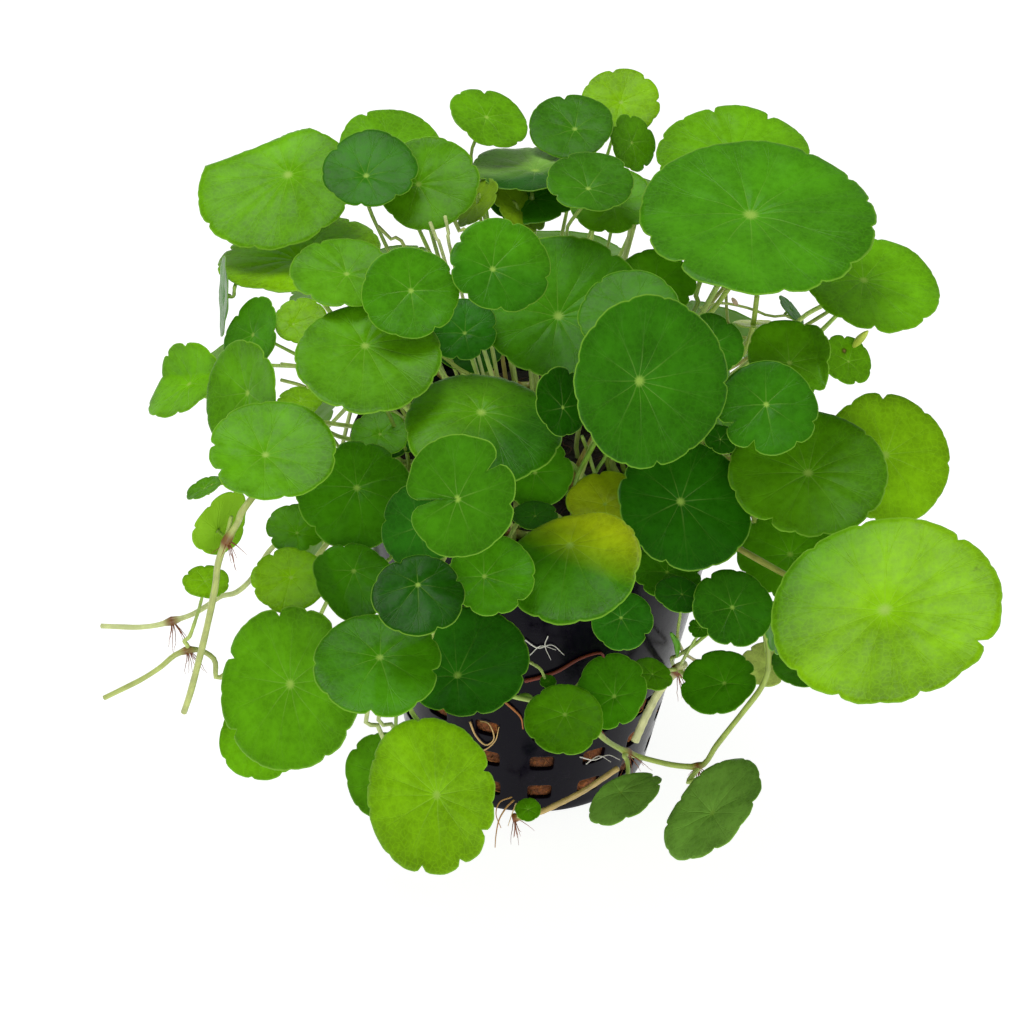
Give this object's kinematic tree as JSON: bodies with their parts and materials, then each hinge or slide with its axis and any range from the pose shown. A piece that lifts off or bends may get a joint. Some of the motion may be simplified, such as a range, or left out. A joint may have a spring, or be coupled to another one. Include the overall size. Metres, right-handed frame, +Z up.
{
  "type": "potted pennywort plant",
  "caption": "Aquarium plant: round scalloped leaves on thin stalks and creeping runners over a small tapered net pot filled with fibre.",
  "frame": {"origin": "middle of the underside of the pot, on the surface it stands on", "axes": "+Z up, -Y towards the pictured side, +X to the right as seen from there"},
  "size_m": [0.1586, 0.1672, 0.1363],
  "materials": {
    "pot": "glossy near-black",
    "soil": "matted brown coconut fibre, rough",
    "leaf": "waxy mid-green leaf with pale stalk",
    "far": "waxy darker green leaf with pale stalk",
    "runner": "smooth pale yellow-green stem"
  },
  "bodies": {
    "root": {"pot": "pot", "soil": "soil", "leaf_a": "leaf", "leaf_b": "leaf", "leaf_d": "leaf", "leaf_f": "leaf", "leaf_g": "leaf", "leaf_i": "leaf", "leaf_k": "leaf", "leaf_m": "leaf", "leaf_p": "leaf", "leaf_t": "leaf", "leaf_v": "leaf", "leaf_x": "leaf", "leaf_z": "leaf", "leaf_aa": "leaf", "leaf_ab": "leaf", "leaf_ac": "leaf", "leaf_ad": "leaf", "leaf_ae": "leaf", "leaf_ag": "leaf", "leaf_ai": "leaf", "leaf_ak": "leaf", "leaf_al": "leaf", "leaf_am": "leaf", "leaf_an": "leaf", "leaf_ax": "leaf", "leaf_ay": "leaf", "leaf_az": "leaf", "leaf_bb": "leaf", "leaf_bc": "leaf", "leaf_be": "leaf", "leaf_bf": "leaf", "leaf_bg": "leaf", "leaf_bh": "leaf", "leaf_bj": "leaf", "leaf_bk": "leaf", "leaf_bm": "leaf", "leaf_bn": "leaf", "leaf_bo": "leaf", "tuft_top": "leaf", "tuft_left": "leaf", "tuft_middle": "leaf", "tuft_front": "leaf", "tuft_right": "leaf", "tuft_back_right": "far", "tuft_back": "far", "tuft_back_left": "far", "runner_left_high": "runner", "runner_left_pale": "runner", "runner_left_low": "runner", "runner_front": "runner", "runner_thick": "runner", "runner_low": "runner"}
  },
  "joints": []
}
